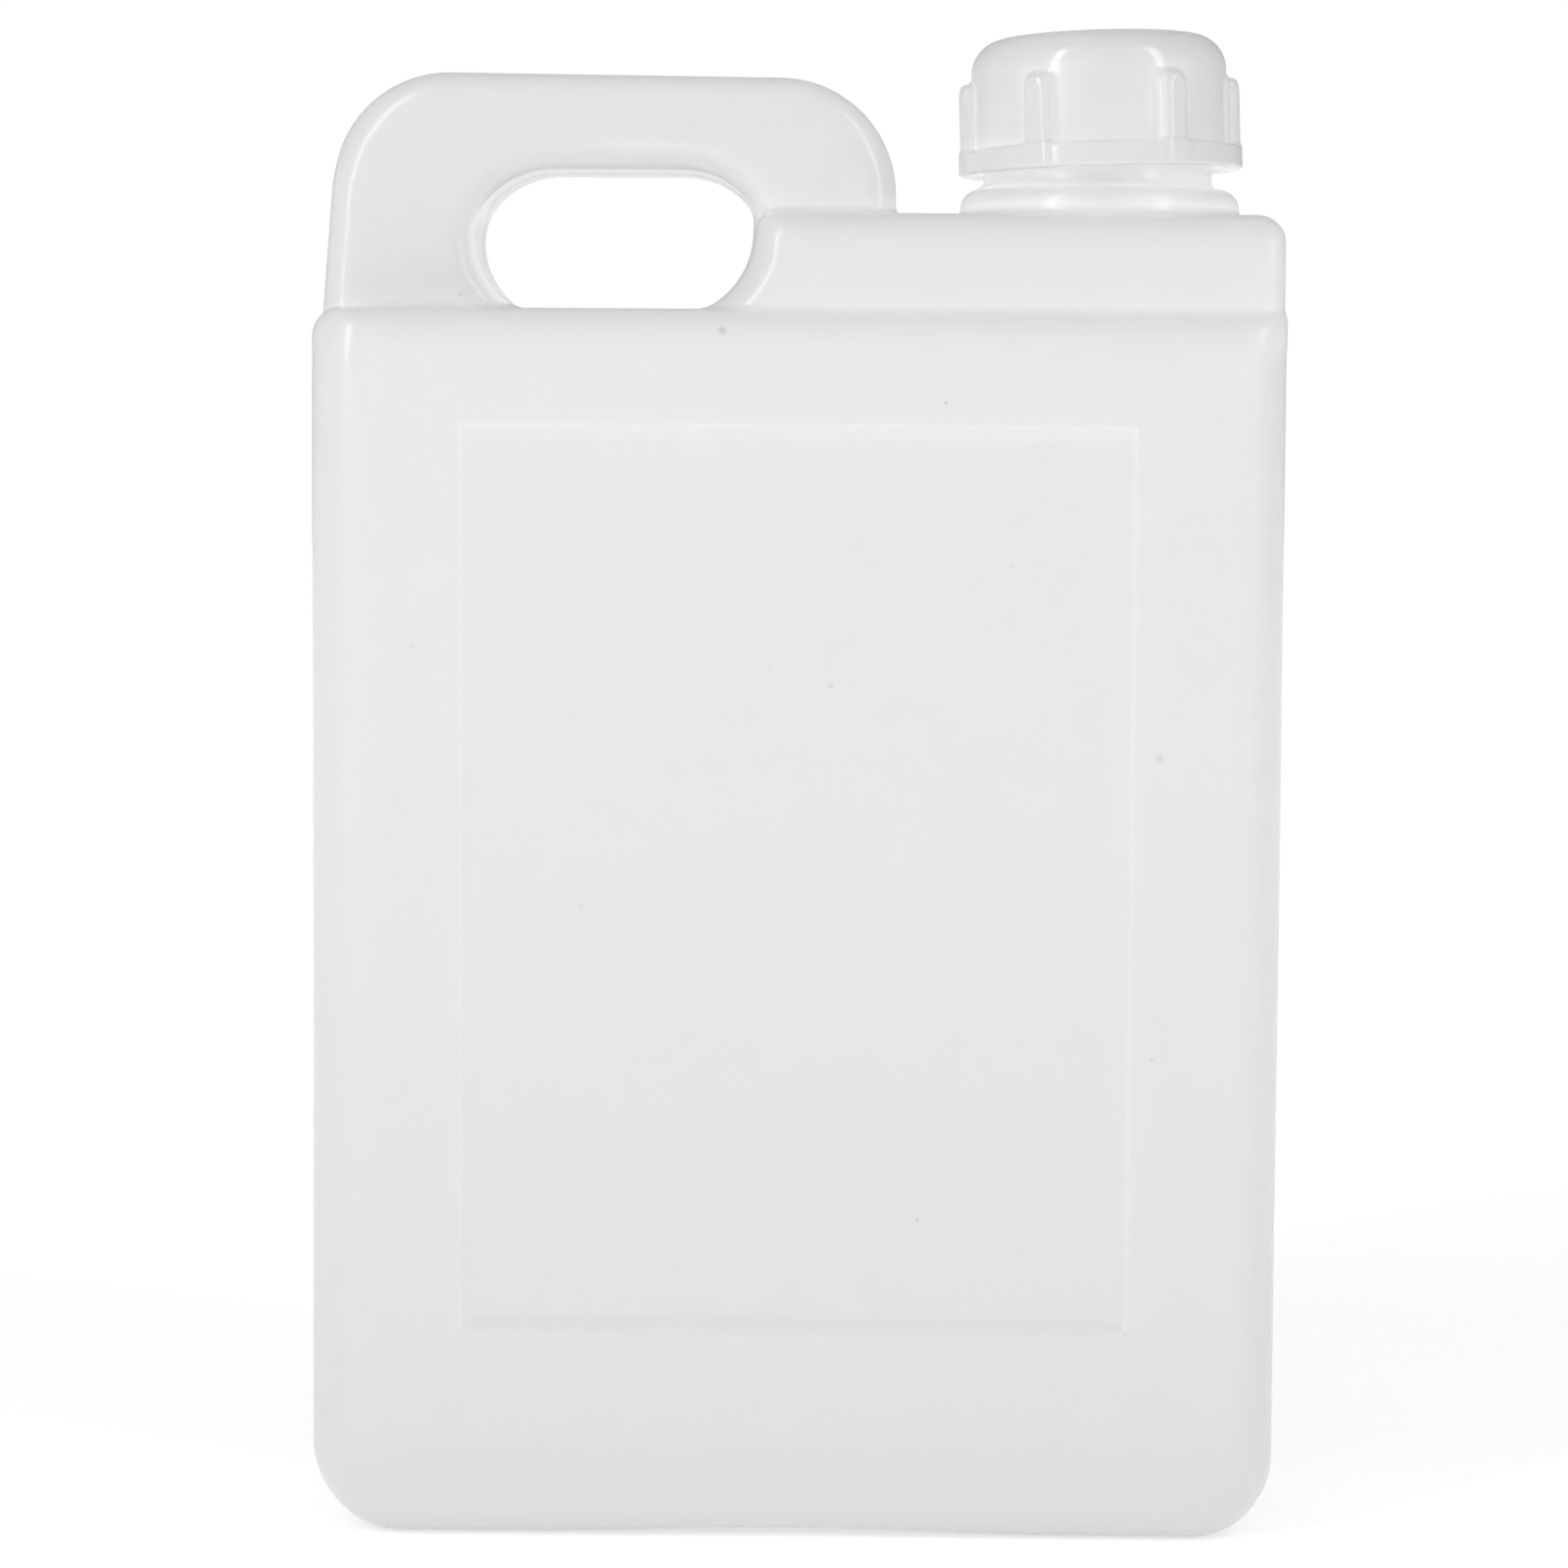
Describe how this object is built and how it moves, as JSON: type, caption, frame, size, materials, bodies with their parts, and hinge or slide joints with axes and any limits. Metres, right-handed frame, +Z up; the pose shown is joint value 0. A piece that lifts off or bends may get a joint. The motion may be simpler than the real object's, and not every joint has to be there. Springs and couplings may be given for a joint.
{
  "type": "flat plastic bottle",
  "caption": "Flat rectangular plastic bottle with a loop handle at one side of the top and a ribbed screw cap at the other, shut.",
  "frame": {"origin": "under the middle of the body, on the surface that the bottle stands on", "axes": "+Z up along the bottle's height, +X towards the neck, -Y out of the broad front face"},
  "size_m": [0.1608, 0.066, 0.2509],
  "materials": {
    "natural_plastic": "milky natural polyethylene, satin, slightly translucent",
    "cap_plastic": "white polyethylene, smoother and glossier than the bottle"
  },
  "bodies": {
    "root": {"bottle": "natural_plastic", "cap": "cap_plastic"}
  },
  "joints": []
}
